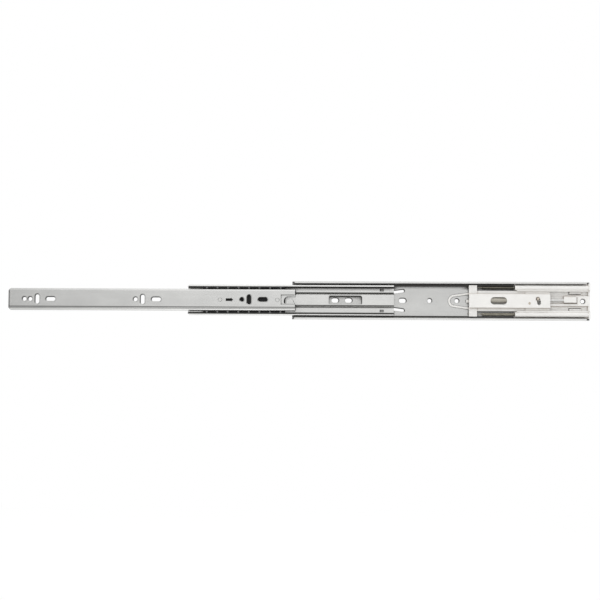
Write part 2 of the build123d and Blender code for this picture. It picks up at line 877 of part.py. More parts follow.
# Tension springs: each a coil's outer form with a wire at both ends, hooked round a cross wire
coil_front = arm_rear + running_gap
coil_rear = spring_wall_front - running_gap
rear_eye = spring_wall_rear + running_gap + wire / 2
front_eye = carriage_front - running_gap - wire / 2
for name, side in (("upper", 1), ("lower", -1)):
    with BuildPart() as spring:
        with BuildSketch(section(coil_rear)):
            with Locations((spring_depth, side * spring_z)):
                RegularPolygon(spring_radius, coil_sides)
        extrude(amount=coil_rear - coil_front)
        for end, start in ((rear_eye, coil_rear), (coil_front, front_eye)):
            with BuildSketch(section(end)):
                with Locations((spring_depth, side * spring_z)):
                    RegularPolygon(wire / 2, wire_sides)
            extrude(amount=end - start)
        with BuildSketch(Plane.XY.offset(side * spring_z - spring_radius)):
            with Locations((rear_eye, -spring_depth), (front_eye, -spring_depth)):
                RegularPolygon(wire / 2, wire_sides)
        extrude(amount=2 * spring_radius)
    spring.part.label = "spring_" + name
    export_step(spring.part, "parts/spring_" + name + ".step")

# Release lever inside the drawer member, and its rivet
with BuildPart() as release_lever:
    with BuildSketch(face(lever_bottom)):
        with Locations((lever_pivot_x, 0)):
            Circle(lever_hub)
        with Locations(((lever_pivot_x + intermediate_front - lever_overhang) / 2, lever_offset)):
            Rectangle(lever_pivot_x - intermediate_front + lever_overhang, lever_width)
        with Locations((intermediate_front - lever_overhang + lever_width / 2, lever_offset)):
            RectangleRounded(lever_pad_length, lever_pad_height, lever_pad_height / 4)
        with Locations((lever_pivot_x, 0)):
            Circle(rivet_radius + fit_gap, mode=Mode.SUBTRACT)
    extrude(amount=lever_sheet)
    with BuildSketch(face(lever_bottom)):
        with Locations((lever_pivot_x, 0)):
            Circle(rivet_head + fit_gap)
    extrude(amount=rivet_head_sheet, mode=Mode.SUBTRACT)
    hook_front = catch_x + sheet + running_gap
    extrude(
        plate(hook_front, hook_front + hook_length, hook_low, hook_length, hook_bottom),
        amount=lever_bottom - hook_bottom,
    )
release_lever.part.label = "release_lever"
export_step(release_lever.part, "parts/release_lever.step")

with BuildPart() as lever_rivet:
    with BuildSketch(face(lever_bottom)):
        with Locations((lever_pivot_x, 0)):
            Circle(rivet_head)
    extrude(amount=rivet_head_sheet - fit_gap)
    with BuildSketch(face(lever_bottom)):
        with Locations((lever_pivot_x, 0)):
            Circle(rivet_radius)
    extrude(amount=web_outer - rivet_sink - lever_bottom)
lever_rivet.part.label = "lever_rivet"
export_step(lever_rivet.part, "parts/lever_rivet.step")
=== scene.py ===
# %% [markdown]
# # A cabinet drawer slide
# This lesson dresses a ball-bearing drawer slide with a soft-close unit. Its sheet-metal
# members, cages and moulded parts come in as solids from a CAD model. Here they get
# their finishes, and the parts that a solid shows only roughly, the balls and the
# springs, are made again as smooth surfaces. Lengths are in metres: x runs to the
# cabinet's rear, y into its side panel and z up.

# %% Load the solids
import json
import math
import bpy
import numpy as np
from mathutils import Matrix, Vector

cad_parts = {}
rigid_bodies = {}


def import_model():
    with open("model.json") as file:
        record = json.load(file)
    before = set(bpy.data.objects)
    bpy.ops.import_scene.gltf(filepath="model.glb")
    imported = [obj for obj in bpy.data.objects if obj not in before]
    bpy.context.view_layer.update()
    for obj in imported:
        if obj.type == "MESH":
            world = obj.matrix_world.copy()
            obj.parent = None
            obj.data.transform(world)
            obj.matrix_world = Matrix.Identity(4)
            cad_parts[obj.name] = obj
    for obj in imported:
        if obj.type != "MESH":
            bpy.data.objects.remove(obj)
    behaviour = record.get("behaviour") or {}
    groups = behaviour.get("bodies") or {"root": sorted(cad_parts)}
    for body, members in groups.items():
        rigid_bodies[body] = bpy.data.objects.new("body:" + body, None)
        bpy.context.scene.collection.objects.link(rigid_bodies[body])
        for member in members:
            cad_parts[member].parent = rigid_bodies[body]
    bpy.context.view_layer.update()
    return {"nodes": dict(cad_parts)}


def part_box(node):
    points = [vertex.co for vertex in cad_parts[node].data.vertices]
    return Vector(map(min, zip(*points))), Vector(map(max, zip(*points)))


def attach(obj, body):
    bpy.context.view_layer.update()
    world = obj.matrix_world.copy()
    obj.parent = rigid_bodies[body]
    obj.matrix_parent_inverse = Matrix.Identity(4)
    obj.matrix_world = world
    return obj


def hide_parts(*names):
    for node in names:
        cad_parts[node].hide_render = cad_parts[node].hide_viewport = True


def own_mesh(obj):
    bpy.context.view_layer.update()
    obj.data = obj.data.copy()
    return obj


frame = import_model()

nodes = frame["nodes"]

# %% [markdown]
# ## One way to add a node
# A finish on metal or plastic is a sum of small effects: streaks, clouds, a shadow.
# Sums are easiest to read as sums, so a small class wraps a node's output and turns
# plus, minus, times and divide into Math nodes. Every other node comes from one method,
# which is told its type, its settings and what its sockets hold.

# %% A value in a node tree, and the tree it belongs to
class Flow:
    """One output of a node. Arithmetic on it adds a Math node to its tree."""

    def __init__(self, tree, socket):
        self.tree = tree
        self.socket = socket

    def math(self, operation, *values):
        """The Math node's operation on the values, in their order."""
        return self.tree.add("ShaderNodeMath", {"operation": operation}, dict(enumerate(values)))

    def __add__(self, other):
        return self.math("ADD", self, other)

    def __radd__(self, other):
        return self.math("ADD", other, self)

    def __sub__(self, other):
        return self.math("SUBTRACT", self, other)

    def __rsub__(self, other):
        return self.math("SUBTRACT", other, self)

    def __mul__(self, other):
        return self.math("MULTIPLY", self, other)

    def __rmul__(self, other):
        return self.math("MULTIPLY", other, self)

    def __truediv__(self, other):
        return self.math("DIVIDE", self, other)

    def __rtruediv__(self, other):
        return self.math("DIVIDE", other, self)

    def __abs__(self):
        return self.math("ABSOLUTE", self)

    def least(self, other):
        """The smaller of the two."""
        return self.math("MINIMUM", self, other)

    def most(self, other):
        """The larger of the two."""
        return self.math("MAXIMUM", self, other)


class Tree:
    """A node tree with one method that adds any node."""

    def __init__(self, tree):
        self.tree = tree

    def add(self, kind, settings=None, sockets=None, output=0):
        """Adds a node of that kind, sets its settings, then fills its sockets by name or number.
        A ramp's stops are pairs of a place and a colour."""
        node = self.tree.nodes.new(kind)
        for name, value in (settings or {}).items():
            if name == "stops":
                ramp = node.color_ramp.elements
                while len(ramp) < len(value):
                    ramp.new(0.5)
                for stop, (place, colour) in zip(ramp, value):
                    stop.position = place
                    stop.color = (*colour, 1.0)
            else:
                setattr(node, name, value)
        for name, value in (sockets or {}).items():
            if isinstance(value, Flow):
                self.tree.links.new(value.socket, node.inputs[name])
            else:
                node.inputs[name].default_value = value
        return Flow(self, node.outputs[output] if len(node.outputs) else None)

    def blend(self, share, first, second, mode="MIX"):
        """Mixes two colours by a share between 0 and 1. They are the Mix node's sockets 6 and 7."""
        settings = {"data_type": "RGBA", "blend_type": mode}
        values = {0: share, 6: first, 7: second}
        for key in (6, 7):
            if isinstance(values[key], tuple):
                values[key] = (*values[key], 1.0)
        return self.add("ShaderNodeMix", settings, values, output=2)


print("the node helpers are ready")

# %% [markdown]
# ## Patterns that several finishes share
# Most surface detail is noise at some size. Cold-rolled sheet has it drawn out along the
# strip, because the rolls pull every grain and scratch the same way. Moulded plastic has
# it even in all directions. One function gives both: it scales the object's own
# coordinates before they reach the noise, so a big number across and a small number
# along gives streaks.

# %% Noise on the object's coordinates
NOISE_ROUGHNESS = 0.55


def grain(tree, along, across, detail=3.0):
    """Noise from 0 to 1, whose grains are 1/along metres long in x and 1/across metres wide in
    y and z."""
    place = tree.add("ShaderNodeTexCoord", output=3)
    stretched = tree.add("ShaderNodeMapping", {"vector_type": "POINT"},
                         {"Vector": place, "Scale": (along, across, across)})
    return tree.add("ShaderNodeTexNoise", {"noise_dimensions": "3D"},
                    {"Vector": stretched, "Scale": 1.0, "Detail": detail, "Roughness": NOISE_ROUGHNESS})


def between(tree, value, low, high):
    """A value taken from the span low to high onto 0 to 1, and held there outside the span."""
    return tree.add("ShaderNodeMapRange", {"clamp": True},
                    {"Value": value, "From Min": low, "From Max": high, "To Min": 0.0, "To Max": 1.0})


print("patterns ready: noise, and spans of it")

# %% [markdown]
# ## How hidden a point is
# A groove is dark because little light gets in. The lamps give soft light from all round,
# which would fill it, so the finishes darken what is hidden. Ambient occlusion looks from
# the surface as far as a set reach and says how much of the sky it finds open.

# %% Creases, and shade from above
SKY_SAMPLES = 8
SKY_TILT = (0.0, 0.0, 0.8)


def crease(tree, reach, low, high):
    """How hidden a point is, looking as far as reach in metres: 0 where less than low of its
    sky is covered, 1 where more than high of it is."""
    open_share = tree.add("ShaderNodeAmbientOcclusion", {"samples": SKY_SAMPLES},
                          {"Distance": reach}, output=1)
    return between(tree, 1.0 - open_share, low, high)


def shade_from_above(tree, reach, low, high):
    """How much of the sky overhead is hidden within reach: the same as crease, but looking along
    the surface's normal tipped up, so a ledge darkens what is under it and not what is over it."""
    normal = tree.add("ShaderNodeNewGeometry", output=1)
    tipped = tree.add("ShaderNodeVectorMath", {"operation": "ADD"}, {0: normal, 1: SKY_TILT})
    unit = tree.add("ShaderNodeVectorMath", {"operation": "NORMALIZE"}, {0: tipped})
    open_share = tree.add("ShaderNodeAmbientOcclusion", {"samples": SKY_SAMPLES},
                          {"Distance": reach, "Normal": unit}, output=1)
    return between(tree, 1.0 - open_share, low, high)


print("shading ready: crease, shade from above; samples", SKY_SAMPLES)


# %% [markdown]
# ## Where a point lies on a strip
# Rolled strip is the same all along its length, so what changes across it, such as a painted line of
# shade in a bend, is a matter of height alone. A mask painted by hand would have to be redrawn for each
# length of slide. One worked out from the height fits them all.

# %% Places on a strip
def coordinates(tree):
    """The object's own x and z, each as a Flow."""
    place = tree.add("ShaderNodeTexCoord", output=3)
    return (tree.add("ShaderNodeSeparateXYZ", None, {"Vector": place}, output=0),
            tree.add("ShaderNodeSeparateXYZ", None, {"Vector": place}, output=2))


def facing_panel(tree):
    """The y part of the surface's normal: 1 where it faces the cabinet's panel, -1 where it faces
    the drawer."""
    normal = tree.add("ShaderNodeNewGeometry", output=1)
    return tree.add("ShaderNodeSeparateXYZ", None, {"Vector": normal}, output=1)


def fold(tree, middle, half):
    """A line along x at that height. It is 1 up to six tenths of half its width away, and 0 from
    half its width on."""
    away = abs(coordinates(tree)[1] - middle)
    return between(tree, 1.0 - away / half, 0.0, 0.4)


print("places ready: coordinates, side that faces the panel, lines along the strip")


# %% [markdown]
# ## One finish, three patterns
# Every finish here is a Principled shader whose colour, roughness and relief come from
# patterns. What is the same all over, such as how metallic it is, stays a plain number
# on the shader. The relief is a bump, because the marks are far finer than the mesh.

# %% A finish
def finish(name, colour, roughness, metallic=0.0, bump=None, depth=1.0):
    """A material. Its colour, roughness and bump are functions of the tree, which add their own
    nodes and give back a Flow. The bump's height in metres is its value times the depth."""
    material = bpy.data.materials.new(name)
    material.use_nodes = True
    material.node_tree.nodes.clear()
    tree = Tree(material.node_tree)
    sockets = {"Base Color": colour(tree), "Roughness": roughness(tree), "Metallic": metallic}
    if bump is not None:
        sockets["Normal"] = tree.add("ShaderNodeBump", None,
                                     {"Strength": 1.0, "Distance": depth, "Height": bump(tree)})
    shader = tree.add("ShaderNodeBsdfPrincipled", None, sockets)
    tree.add("ShaderNodeOutputMaterial", None, {"Surface": shader})
    return material


print("finish ready: colour, roughness and bump worked out in place")

# %% [markdown]
# ## Zinc-plated rolled steel
# The three members are cold-rolled strip, plated with bright zinc after forming. Zinc
# this thin keeps the strip's fine lengthwise streaks and adds a faint cloudiness where
# the plating bath left it thicker. A brushed-metal picture would repeat and would not
# follow the bends, so the streaks and clouds are noise worked out in place.
#
# A punch draws the sheet's edge down a little before it shears through, so each hole has a soft rim and a
# torn wall. The colour is painted darker on the wall and out to about a millimetre and a half round the
# hole, a little all round and most on its upper side: painted shade. Both need the distance to the
# nearest hole, which for a slot is the distance to its centre line less its radius. A slot is written as
# its middle in x and z, its half lengths in x and z, and its radius. A round hole is a slot of no length.

# %% Where the punched holes are
def rim_distance(tree, place, middle_x, middle_z, half_x, half_z, radius):
    """How far a point is outside a slot's edge, in metres: the distance to the slot's centre line,
    which runs half_x or half_z to both sides of its middle, less the slot's radius."""
    x, z = place
    along = (abs(x - middle_x) - half_x).most(0.0)
    up = (abs(z - middle_z) - half_z).most(0.0)
    square = along * along + up * up
    return square.math("SQRT", square) - radius


def nearest_rim(tree, place, slots):
    """The smallest distance to any slot in the list."""
    nearest = None
    for slot in slots:
        distance = rim_distance(tree, place, *slot)
        nearest = distance if nearest is None else nearest.least(distance)
    return nearest


DRAWER_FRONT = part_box("drawer_member")[0][0]
MIDDLE_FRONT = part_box("intermediate_member")[0][0]
HOLE_STEP = 0.128
HOLE_RADIUS = 0.0023
SLOT_HALF = 0.0032
FIRST_HOLE = 0.020
LAST_GROUP_END = 0.32
FAR_AWAY = 0.01
LANCE_MIDDLE = 0.121
LANCE_SLANT = math.tan(math.radians(7.5))
drawer_repeats = [(0.0270, 0.0, 0.0, 0.0, HOLE_RADIUS),
                  (0.0356, 0.0, 0.0, SLOT_HALF, HOLE_RADIUS),
                  (0.0520, 0.0, SLOT_HALF, 0.0, HOLE_RADIUS)]
cabinet_holes = [(place, 0.0, 0.0, 0.0, HOLE_RADIUS) for place in (0.035, 0.163, 0.195)]
cabinet_holes += [(place, 0.0, 0.0015, 0.0, 0.0025) for place in (0.051, 0.067, 0.131)]
lance_hole = (LANCE_MIDDLE, 0.0101, 0.0105, 0.0, 0.0015)
middle_window = (0.1881, 0.0, 0.0177, 0.0031, 0.0015)


def drawer_rims(tree, shift=0.0):
    """Distance to the nearest hole of the drawer member, whose group of holes repeats along x.
    Past the last group every hole counts as far away. The shift asks for the distance from a
    point that far to the rear of, and below, this one."""
    x, z = coordinates(tree)
    z = z - shift
    inside = x + shift - DRAWER_FRONT
    single = rim_distance(tree, (inside, z), FIRST_HOLE, 0.0, 0.0, 0.0, HOLE_RADIUS)
    repeated = inside.math("FLOORED_MODULO", inside, HOLE_STEP)
    in_range = inside.math("LESS_THAN", inside, LAST_GROUP_END)
    group = nearest_rim(tree, (repeated, z), drawer_repeats)
    return single.least(group * in_range + (1.0 - in_range) * FAR_AWAY)


def cabinet_rims(tree, shift=0.0):
    """Distance to the nearest hole of the cabinet member, its two slanted slots among them.
    The shift asks for the distance from a point that far to the front of, and below, this one."""
    x, z = coordinates(tree)
    x, z = x - shift, z - shift
    upright = abs(z) - (x - LANCE_MIDDLE) * LANCE_SLANT
    slanted = rim_distance(tree, (x, upright), *lance_hole)
    return nearest_rim(tree, (x, z), cabinet_holes).least(slanted)


def middle_rims(tree, shift=0.0):
    """Distance to the long window of the intermediate member, its corners rounded. The shift asks
    for the distance from a point that far to the front of, and below, this one."""
    x, z = coordinates(tree)
    return rim_distance(tree, (x - shift - MIDDLE_FRONT, z - shift), *middle_window)


print("holes: drawer repeats", len(drawer_repeats), "cabinet", len(cabinet_holes) + 2)

# %% [markdown]
# ## Painted shade on the zinc
# Each member's colour is painted near black in one or more lines at set heights, on the side that faces
# the drawer and never on its back: painted shade in the folds and grooves beside the ball tracks and
# under the lips, and on the drawer member a painted reflection along its lower bend. The sky is also
# hidden under every lip, and there the colour is painted darker as well: painted shade.

# %% Zinc's colour
# Near black: the colour of the painted shade on the zinc
PAINTED_SHADE_BLACK = (0.025, 0.024, 0.022)
FOLD_SHADE = (0.0022, 0.12, 0.45)
LIP_SHADE = (0.010, 0.54, 0.68)
RIM_STEP = 0.0002


def zinc_colour(light, shade, bands, rims, ledge=None, front=None):
    """Zinc of that lightness, with streaks along the strip and slow clouds. Painted shade makes it dark
    in folds, where the sky overhead is hidden, in the bands, each a height, a half width and a strength,
    on the side that faces the drawer, round the holes and most on their upper side, and up to a
    millimetre or so behind the front, where one is given. Below the height of a ledge only places that
    are more hidden go dark."""
    def colour(tree):
        streak = between(tree, grain(tree, 6.0, 1500.0, detail=4.0), 0.3, 0.72)
        cloud = between(tree, grain(tree, 38.0, 60.0, detail=2.0), 0.3, 0.7)
        dark = tuple(light * share for share in (0.86, 0.86, 0.845))
        bright = tuple(light * share for share in (1.0, 1.0, 0.98))
        rolled = tree.blend(streak * 0.45 + cloud * 0.55, dark, bright)
        # Painted shade where the sky overhead is hidden and in folds
        overhead = shade_from_above(tree, *shade)
        if ledge is not None:
            above_ledge = between(tree, coordinates(tree)[1], ledge - 0.001, ledge + 0.001)
            overhead = overhead * above_ledge + shade_from_above(tree, *LIP_SHADE) * (1.0 - above_ledge)
        hidden = crease(tree, *FOLD_SHADE).most(overhead) * 0.97
        # Painted shade: dark lines at set heights, on the side that faces the drawer
        inner_side = between(tree, 0.0 - facing_panel(tree), -0.6, -0.2)
        for middle, half, strength in bands:
            hidden = hidden.most(fold(tree, middle, half) * inner_side * strength)
        # Painted shade up to a millimetre or so behind the front edge
        if front is not None:
            edge = between(tree, 0.0 - coordinates(tree)[0], -front - 0.0018, -front - 0.0008)
            hidden = hidden.most(edge * 0.6)
        # Painted shade round each hole, slight all round and strong on its upper side
        distance = rims(tree)
        wall = between(tree, 0.0 - distance, -0.0015, -0.0008)
        painted_shadow_side = between(tree, (distance - rims(tree, RIM_STEP)) / RIM_STEP, -0.3, 0.8)
        hidden = hidden.most(wall * (0.1 + 0.86 * painted_shadow_side))
        return tree.blend(hidden, rolled, PAINTED_SHADE_BLACK)
    return colour


print("zinc's colour ready, dark tone", PAINTED_SHADE_BLACK)

# %% Zinc's roughness and relief
ROLLOVER = 0.0016
ROLLOVER_DEPTH = 0.00016
RIDGE_DEPTH = 0.00001


def zinc_roughness(base):
    """Satin roughness, a little higher where the plating is cloudy."""
    def roughness(tree):
        return base + 0.1 * grain(tree, 30.0, 400.0)
    return roughness


def zinc_height(rims):
    """The fine ridges that the rolls leave, and the sheet's edge drawn down round each punched hole:
    the depth grows with the square of the way in from the rollover's outer line."""
    def height(tree):
        ridges = RIDGE_DEPTH * (grain(tree, 9.0, 2600.0) + 0.4 * grain(tree, 300.0, 900.0, detail=2.0))
        way_in = between(tree, 0.0 - rims(tree), -ROLLOVER, 0.0)
        return ridges - ROLLOVER_DEPTH * (way_in * way_in)
    return height


print("zinc's relief ready, rollover", ROLLOVER, "wide and", ROLLOVER_DEPTH, "deep")

# %% The three members' finishes
ZINC_METALLIC = 0.85
# The bands are painted shade lines under the lips and in the folds, and on the drawer member a painted
# reflection along its lower bend
zinc_cabinet = finish("zinc_cabinet",
                      zinc_colour(0.565, (0.010, 0.42, 0.56),
                                  [(0.0181, 0.0018, 0.98), (-0.0188, 0.0013, 0.97)], cabinet_rims,
                                  ledge=0.0125),
                      zinc_roughness(0.13), ZINC_METALLIC, zinc_height(cabinet_rims))
zinc_middle = finish("zinc_middle",
                     zinc_colour(0.67, (0.008, 0.38, 0.75),
                                 [(0.0089, 0.0009, 0.96), (-0.0062, 0.0009, 0.85),
                                  (-0.0085, 0.0006, 0.35), (0.0151, 0.0013, 0.97),
                                  (-0.0156, 0.0015, 0.98)], middle_rims),
                     zinc_roughness(0.13), ZINC_METALLIC, zinc_height(middle_rims))
zinc_drawer = finish("zinc_drawer",
                     zinc_colour(0.645, (0.008, 0.35, 0.75), [(-0.0088, 0.0008, 0.7)], drawer_rims,
                                 front=DRAWER_FRONT),
                     zinc_roughness(0.14), ZINC_METALLIC, zinc_height(drawer_rims))
print("zinc finishes:", zinc_cabinet.name, zinc_middle.name, zinc_drawer.name)

# %% [markdown]
# ## Moulded plastics
# The soft-close unit is moulded in acetal, a slippery off-white plastic with a dull gloss. Light goes a
# little way into it and comes out warmer, so its grooves look brown rather than grey. Full subsurface
# scattering would show that but is slow, so the colour is painted darker and browner where the surface is
# enclosed and a little under ledges: painted shade.

# %% Acetal, grey nylon and black cage strip
GROOVE_SHADE = (0.0018, 0.0, 0.9)
GROOVE_STRENGTH = 0.85
LEDGE_SHADE = (0.004, 0.3, 0.95)
LEDGE_STRENGTH = 0.2
SPARK_DEPTH = 0.00001


def moulded(tone, shade):
    """A plastic of that tone, which turns to the shade in its grooves and a little under ledges."""
    def colour(tree):
        cloud = between(tree, grain(tree, 90.0, 90.0, detail=2.0), 0.25, 0.75)
        pale = tuple(channel * 1.02 for channel in tone)
        dull = tuple(channel * 0.965 for channel in tone)
        base = tree.blend(cloud, dull, pale)
        # Painted shade: browner and darker under ledges and in grooves
        shaded = tree.blend(shade_from_above(tree, *LEDGE_SHADE) * LEDGE_STRENGTH, base, shade)
        return tree.blend(crease(tree, *GROOVE_SHADE) * GROOVE_STRENGTH, shaded, shade)
    return colour


def spark_height(tree):
    """The fine spark-eroded texture of a mould."""
    return grain(tree, 3000.0, 3000.0, detail=2.0)


def even_roughness(base, spread):
    """Roughness that wanders by spread over a few millimetres."""
    def roughness(tree):
        return base + spread * grain(tree, 350.0, 350.0, detail=2.0)
    return roughness


acetal = finish("acetal_white", moulded((0.80, 0.79, 0.768), (0.30, 0.22, 0.15)),
                even_roughness(0.36, 0.12), 0.0, spark_height, SPARK_DEPTH)
grey_nylon = finish("grey_nylon", moulded((0.42, 0.40, 0.36), (0.10, 0.08, 0.06)),
                    even_roughness(0.42, 0.12), 0.0, spark_height, SPARK_DEPTH)
cage_black = finish("cage_black", moulded((0.018, 0.018, 0.018), (0.004, 0.004, 0.004)),
                    even_roughness(0.42, 0.15), 0.0, spark_height, SPARK_DEPTH)
print("plastics:", acetal.name, grey_nylon.name, cage_black.name)

# %% [markdown]
# ## Small steel parts
# Balls are ground and polished, the damper's tube is drawn and nickel-plated, the pins are plain turned
# wire, and the springs are oil-tempered, which leaves them brown. On the springs the colour is painted
# black where the sky overhead is hidden, and the upper spring is painted black all over but for a lighter
# line along its middle: painted shade and shadow, with a painted highlight.

# %% Bright and dark steels
POLISH_DEPTH = 0.000002
MARK_DEPTH = 0.00001
# Near black: the colour of the painted shade and shadow on the springs
PAINTED_SHADOW_BLACK = (0.008, 0.008, 0.007)


def steel_tone(dark, bright, size, shade=None, highlight_middle=None):
    """Steel between two tones, in clouds of 1/size metres. With a shade it is painted black where the sky
    is hidden, painted shade, and it is painted black above the slide's middle plane, a painted shadow,
    but for a lighter painted highlight line at the given height."""
    def colour(tree):
        steel = tree.blend(between(tree, grain(tree, size, size), 0.3, 0.7), dark, bright)
        if shade is None:
            return steel
        # Painted shadow over the upper spring, with a lighter painted highlight line along its middle
        upper_half = between(tree, coordinates(tree)[1], 0.0, 0.001)
        painted_upper_shadow = upper_half * (1.0 - 0.6 * fold(tree, highlight_middle, 0.0008))
        return tree.blend(shade_from_above(tree, *shade).most(painted_upper_shadow) * 0.96, steel, PAINTED_SHADOW_BLACK)
    return colour


def fine_marks(tree):
    """Turning marks round a part that lies along x."""
    return grain(tree, 2500.0, 120.0, detail=2.0)


ball_steel = finish("ball_steel", steel_tone((0.52, 0.52, 0.53), (0.68, 0.68, 0.68), 700.0),
                    even_roughness(0.08, 0.08), 1.0, fine_marks, POLISH_DEPTH)
damper_metal = finish("damper_metal", steel_tone((0.38, 0.36, 0.31), (0.45, 0.43, 0.38), 200.0),
                      even_roughness(0.38, 0.12), 0.3, fine_marks, MARK_DEPTH)
rod_steel = finish("rod_steel", steel_tone((0.60, 0.60, 0.59), (0.72, 0.72, 0.70), 600.0),
                   even_roughness(0.30, 0.12), 0.6, fine_marks, MARK_DEPTH)
pin_steel = finish("pin_steel", steel_tone((0.40, 0.35, 0.29), (0.60, 0.54, 0.46), 600.0),
                   even_roughness(0.24, 0.12), 1.0, fine_marks, MARK_DEPTH)
spring_steel = finish("spring_steel",
                      steel_tone((0.55, 0.52, 0.42), (0.72, 0.68, 0.57), 500.0, (0.007, 0.28, 0.55),
                                 (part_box("spring_upper")[0][2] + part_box("spring_upper")[1][2]) / 2.0),
                      even_roughness(0.30, 0.15), 0.7, fine_marks, MARK_DEPTH)
print("steels:", ball_steel.name, damper_metal.name, rod_steel.name, pin_steel.name,
      spring_steel.name)

# %% [markdown]
# ## Dress the solids
# Each solid keeps its mesh and only takes a finish. Its triangles are loose, so every
# bend would show flat strips. A small geometry modifier joins the triangles and
# shades across shallow edges, as the eye sees a real bend, and leaves sharp corners.
# A second modifier weighs the shading by the faces' area, so that flats stay flat.

# %% A modifier that shades bends smoothly
WELD_DISTANCE = 0.000002
BEND_LIMIT = math.radians(24.0)


def bend_shader(limit):
    """Joins loose triangles and shades smoothly across edges whose angle is below the limit."""
    group = bpy.data.node_groups.new("smooth_bends", "GeometryNodeTree")
    group.interface.new_socket(name="Geometry", in_out="INPUT", socket_type="NodeSocketGeometry")
    group.interface.new_socket(name="Geometry", in_out="OUTPUT", socket_type="NodeSocketGeometry")
    tree = Tree(group)
    shape = tree.add("NodeGroupInput")
    joined = tree.add("GeometryNodeMergeByDistance", None,
                      {"Geometry": shape, "Distance": WELD_DISTANCE})
    angle = tree.add("GeometryNodeInputMeshEdgeAngle")
    flat = tree.add("FunctionNodeCompare", {"data_type": "FLOAT", "operation": "LESS_THAN"},
                    {0: angle, 1: limit})
    faces = tree.add("GeometryNodeSetShadeSmooth", {"domain": "FACE"},
                     {"Geometry": joined, "Shade Smooth": True})
    edges = tree.add("GeometryNodeSetShadeSmooth", {"domain": "EDGE"},
                     {"Geometry": faces, "Shade Smooth": flat})
    tree.add("NodeGroupOutput", None, {"Geometry": edges})
    return group


smooth_bends = bend_shader(BEND_LIMIT)
print("bends are smooth below", round(math.degrees(BEND_LIMIT)), "degrees")


# %% Every solid and its finish
def dress(name, material, smooth):
    """Gives a solid its finish, in every slot it has, with smooth bends and level flats."""
    solid = nodes[name]
    if not solid.material_slots:
        solid.data.materials.append(material)
    for slot in solid.material_slots:
        slot.material = material
    modifier = solid.modifiers.new("smooth_bends", "NODES")
    modifier.node_group = smooth
    level = solid.modifiers.new("level_flats", "WEIGHTED_NORMAL")
    level.mode = "FACE_AREA"
    level.keep_sharp = True


finishes = {
    "cabinet_member": zinc_cabinet,
    "intermediate_member": zinc_middle,
    "drawer_member": zinc_drawer,
    "outer_cage_upper": cage_black,
    "outer_cage_lower": cage_black,
    "inner_cage": cage_black,
    "damper_base": acetal,
    "carriage": acetal,
    "rod_foot": acetal,
    "damper_cylinder": damper_metal,
    "damper_gland": damper_metal,
    "damper_rod": rod_steel,
    "latch_pin": pin_steel,
    "latch_pivot_pin": pin_steel,
    "lever_rivet": rod_steel,
    "damper_piston": grey_nylon,
    "latch": grey_nylon,
    "release_lever": grey_nylon,
}
for name, material in finishes.items():
    dress(name, material, smooth_bends)
print("dressed", len(finishes), "solids; left for new pieces:", sorted(set(nodes) - set(finishes)))

# %% [markdown]
# ## From a grid of numbers to a mesh
# A ball or a coil is a surface with two parameters: where round, and where along. The
# two run over a grid, numpy works out every point at once, and one function joins each
# cell of the grid into a face. Rows that close on themselves share their first and last
# points, so there is no seam.

# %% Grid surfaces
def grid_faces(rows, columns):
    """Four-sided faces over a grid of points, closed round the columns."""
    row, column = np.meshgrid(np.arange(rows - 1), np.arange(columns), indexing="ij")
    after = (column + 1) % columns
    this, following = row * columns, (row + 1) * columns
    faces = np.stack([this + column, this + after, following + after, following + column], -1)
    return faces.reshape(-1, 4)


def new_piece(name, points, faces, material, body):
    """A smooth mesh object from an array of points and lists of faces, with its finish. It rides
    on a body."""
    mesh = bpy.data.meshes.new(name)
    mesh.from_pydata(points.reshape(-1, 3).tolist(), [], faces)
    mesh.validate()
    mesh.polygons.foreach_set("use_smooth", np.ones(len(mesh.polygons), dtype=bool))
    mesh.materials.append(material)
    piece = bpy.data.objects.new(name, mesh)
    bpy.context.scene.collection.objects.link(piece)
    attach(piece, body)
    print(name, "points:", len(mesh.vertices), "faces:", len(mesh.polygons), "body:", body)
    return piece


print("grid surfaces ready; a 3 by 4 grid has", len(grid_faces(3, 4)), "faces")

# %% [markdown]
# ## The balls
# Eight steel balls run in each row. On the real slide they are loose in their cage, with
# a hair of play. A sphere is a half circle carried round its axis: its height goes with
# the cosine and its width with the sine of the angle from the pole. The poles are one
# point each, joined to the first ring with three-sided faces.

# %% The four rows of balls
BALLS_IN_ROW = 8
BALL_PITCH = 0.0126
BALL_RINGS = 13
BALL_SIDES = 24


def row_start(node, radius):
    """The centre of a row's first ball, from the box of its solid."""
    low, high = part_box(node)
    return (low[0] + radius, (low[1] + high[1]) / 2.0, (low[2] + high[2]) / 2.0)


